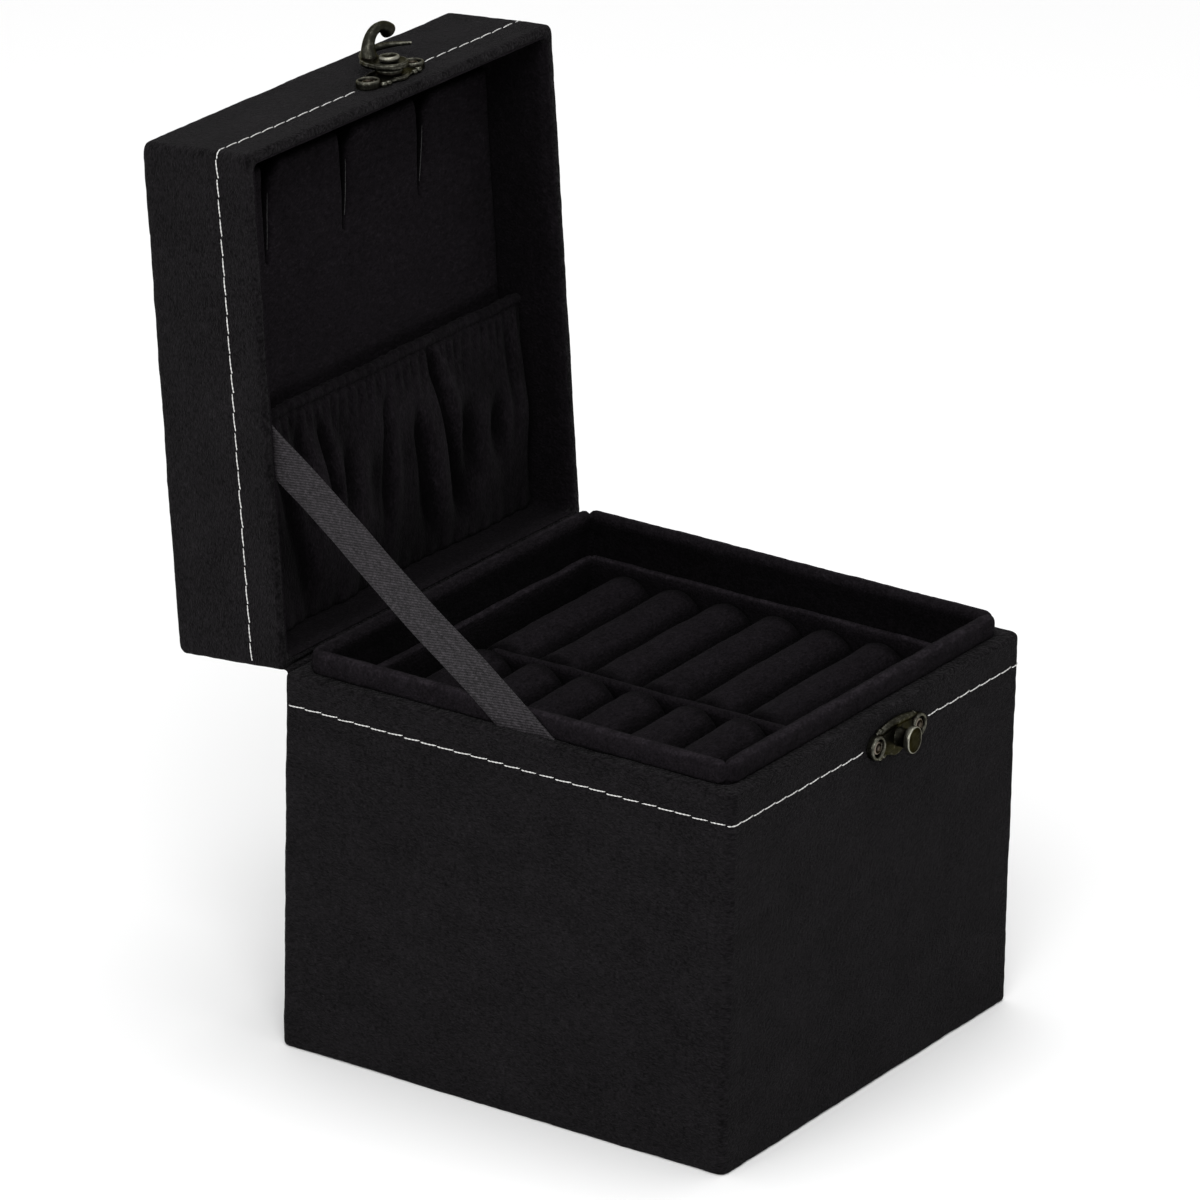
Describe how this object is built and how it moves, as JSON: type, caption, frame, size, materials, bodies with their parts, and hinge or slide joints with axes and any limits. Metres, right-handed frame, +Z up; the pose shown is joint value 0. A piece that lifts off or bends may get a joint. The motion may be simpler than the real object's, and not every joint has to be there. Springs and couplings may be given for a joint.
{
  "type": "jewelry box",
  "caption": "Square suede-covered jewelry box with a hinged deep lid, a swinging hook latch, a ribbon stay, a ring-roll tray and a lower tray that both lift out.",
  "frame": {"origin": "centre of the case's underside, on the surface that it stands on", "axes": "+X to the right seen from the front, -Y towards the latch, +Z up; the lid is open"},
  "size_m": [0.1208, 0.166, 0.2204],
  "materials": {
    "suede": "black short-nap suede cloth, fully matt",
    "velvet": "black velvet with a soft directional nap",
    "pocket_cloth": "thin black velvet gathered on elastic",
    "ribbon": "dark grey woven ribbon with a low satin sheen",
    "thread": "white twisted sewing thread",
    "base_cloth": "plain black cloth-backed paper",
    "board": "plain grey-brown fibreboard, hidden under cloth",
    "foam": "dark closed-cell foam, hidden",
    "bronze": "antique bronze plate, dark in the hollows and bright on the edges",
    "nail": "dark antique bronze nail with a rounded head"
  },
  "bodies": {
    "case": {"bottom_sheet": "base_cloth", "floor_board": "board", "front_board": "board", "back_board": "board", "left_board": "board", "right_board": "board", "case_suede": "suede", "case_stitching": "thread", "hinge_cloth": "suede", "liner_front": "velvet", "liner_back": "velvet", "liner_left": "velvet", "liner_right": "velvet", "base_pad": "velvet", "tray_rails": "velvet", "catch_plate": "bronze", "catch_post": "bronze", "catch_nails": "nail", "lid_ribbon": "ribbon"},
    "lid": {"lid_top_board": "board", "lid_front_board": "board", "lid_back_board": "board", "lid_left_board": "board", "lid_right_board": "board", "lid_suede": "suede", "lid_stitching": "thread", "lid_lining": "velvet", "panel_spacers": "foam", "necklace_panel": "velvet", "pocket": "pocket_cloth", "pocket_elastic": "pocket_cloth", "hook_plate": "bronze", "hook_rivet": "bronze", "hook_nails": "nail"},
    "hook": {"hook": "bronze"},
    "lower_tray": {"lower_tray_walls": "velvet", "lower_tray_floor": "velvet", "lower_cross_divider": "velvet", "lower_long_dividers": "velvet"},
    "top_tray": {"top_tray_walls": "velvet", "top_tray_floor": "velvet", "ring_roll_left_1": "velvet", "ring_roll_left_2": "velvet", "ring_roll_left_3": "velvet", "ring_roll_left_4": "velvet", "ring_roll_left_5": "velvet", "ring_roll_left_6": "velvet", "ring_roll_left_7": "velvet", "ring_roll_right_1": "velvet", "ring_roll_right_2": "velvet", "ring_roll_right_3": "velvet", "ring_roll_right_4": "velvet", "ring_roll_right_5": "velvet", "ring_roll_right_6": "velvet", "ring_roll_right_7": "velvet"},
    "divider": {"ring_divider": "velvet"}
  },
  "joints": [
    {"name": "lid_hinge", "type": "hinge", "parent": "case", "child": "lid", "pos_m": [0, 0.06, 0.091], "axis": [-1, 0, 0], "range_deg": [-95.14, 0], "deforming": ["hinge_cloth", "lid_ribbon"]},
    {"name": "hook_swing", "type": "hinge", "parent": "lid", "child": "hook", "pos_m": [0.0056, 0.07842, 0.20983], "axis": [0, 0.0896, 0.996], "range_deg": [-107.5, 60]},
    {"name": "lower_tray_lift", "type": "slide", "parent": "case", "child": "lower_tray", "axis": [0, 0, 1], "range_m": [0, 0.066]},
    {"name": "top_tray_lift", "type": "slide", "parent": "lower_tray", "child": "top_tray", "axis": [0, 0, 1], "range_m": [0, 0.04]},
    {"name": "divider_lift", "type": "slide", "parent": "top_tray", "child": "divider", "axis": [0, 0, 1], "range_m": [0, 0.03]}
  ]
}
